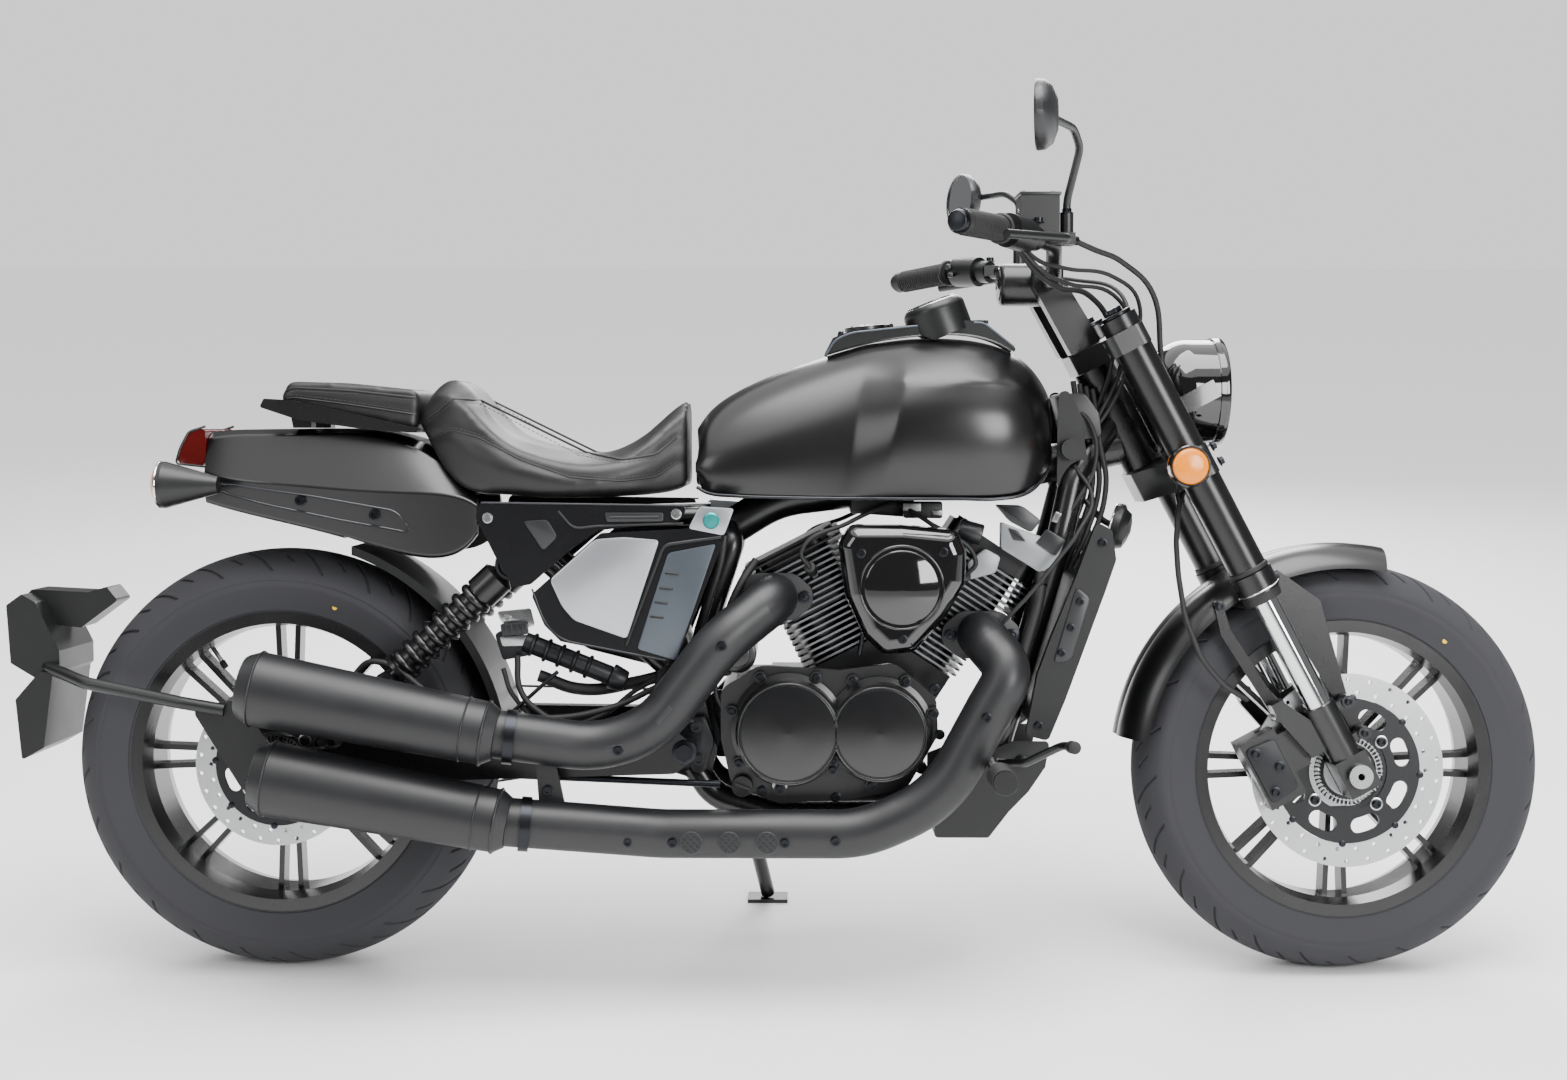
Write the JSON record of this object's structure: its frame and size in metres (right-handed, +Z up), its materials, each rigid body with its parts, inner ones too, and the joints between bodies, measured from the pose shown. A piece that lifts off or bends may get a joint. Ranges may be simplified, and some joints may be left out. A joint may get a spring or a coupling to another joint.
{
  "type": "cruiser motorcycle",
  "caption": "V-twin cruiser motorcycle in a low black bobber style, with bar-mounted mirrors, solo-look seat, pillion pad, stacked mufflers and side stand",
  "frame": {"origin": "centre of the bounding box in X and Y, at floor level (the underside of both tyres and of the side stand)", "axes": "+X points the way the motorcycle drives, +Y to its left, +Z up; the machine stands leaning to +Y on its side stand"},
  "size_m": [2.2335, 0.8991, 1.2711],
  "materials": {
    "black_paint": "satin black paint",
    "dark_engine_paint": "semi-gloss black engine paint",
    "black_exhaust": "heat-proof satin black",
    "black_alloy": "black-coated cast alloy",
    "tyre_rubber": "matt tyre rubber",
    "soft_rubber": "matt rubber",
    "disc_steel": "ground stainless steel",
    "bare_steel": "zinc-plated steel",
    "black_steel": "black powder-coated steel",
    "chromed_tube": "polished hard chrome",
    "seat_vinyl": "dark grey grained vinyl",
    "dark_plastic": "moulded dark plastic",
    "gunmetal_plastic": "gunmetal-painted plastic",
    "cap_metal": "satin alloy",
    "amber_lens": "amber moulded lens",
    "red_lens": "red moulded lens"
  },
  "bodies": {
    "chassis": {"drive_chain": "disc_steel", "swingarm": "black_alloy", "rear_axle": "bare_steel", "shock_absorbers": "black_steel", "main_frame": "black_paint", "rear_subframe": "black_paint", "crankcase": "dark_engine_paint", "engine_covers_right": "dark_engine_paint", "engine_cover_left": "dark_engine_paint", "rear_cylinder": "dark_engine_paint", "front_cylinder": "dark_engine_paint", "air_cleaner_cover": "dark_engine_paint", "intake": "dark_engine_paint", "upper_exhaust": "black_exhaust", "lower_exhaust": "black_exhaust", "fuel_tank": "black_paint", "tank_console": "dark_plastic", "rider_seat": "seat_vinyl", "pillion_seat": "seat_vinyl", "grab_rack": "black_alloy", "tail_fairing": "black_paint", "tail_lamp": "red_lens", "rear_indicators": "amber_lens", "side_panels": "gunmetal_plastic", "rear_hugger": "dark_plastic", "plate_holder": "black_paint", "radiator": "dark_plastic", "radiator_covers": "gunmetal_plastic", "neck_covers": "gunmetal_plastic", "engine_guard": "black_alloy", "foot_controls": "black_alloy", "rear_caliper": "black_alloy"},
    "steering": {"triple_clamps": "black_alloy", "fork_outer_tubes": "black_steel", "fork_inner_tubes": "chromed_tube", "axle_holders": "black_alloy", "front_axle": "bare_steel", "headlamp": "dark_plastic", "front_indicators": "amber_lens", "handlebar": "black_steel", "grips": "soft_rubber", "bar_controls": "dark_plastic", "mirrors": "dark_plastic", "front_fender": "black_paint", "fender_brackets": "black_alloy", "front_caliper": "black_alloy", "brake_hose": "soft_rubber"},
    "front_wheel": {"front_tyre": "tyre_rubber", "front_rim": "black_alloy", "front_disc": "disc_steel"},
    "rear_wheel": {"rear_tyre": "tyre_rubber", "rear_rim": "black_alloy", "rear_disc": "disc_steel", "rear_sprocket": "disc_steel"},
    "side_stand": {"side_stand": "black_steel"},
    "fuel_cap": {"fuel_cap": "cap_metal"}
  },
  "joints": [
    {"name": "steering", "type": "hinge", "parent": "chassis", "child": "steering", "pos_m": [0.76688, -0.10816, 0.29685], "axis": [-0.4691, 0.1076, 0.8765], "range_deg": [-39, 33]},
    {"name": "front_wheel_spin", "type": "hinge", "parent": "steering", "child": "front_wheel", "pos_m": [0.81666, -0.10588, 0.29652], "axis": [-0.0463, 0.9882, -0.1461], "continuous": true},
    {"name": "rear_wheel_spin", "type": "hinge", "parent": "chassis", "child": "rear_wheel", "pos_m": [-0.72428, -0.10706, 0.30636], "axis": [0, 0.9925, -0.1219], "continuous": true},
    {"name": "side_stand_fold", "type": "hinge", "parent": "chassis", "child": "side_stand", "pos_m": [-0.07232, 0.00006, 0.21034], "axis": [0.0938, 0.8414, 0.5323], "range_deg": [0, 95]},
    {"name": "fuel_cap_lid", "type": "hinge", "parent": "chassis", "child": "fuel_cap", "pos_m": [0.16148, -0.02969, 0.9362], "axis": [0, 0.9925, -0.1219], "range_deg": [0, 85]}
  ]
}
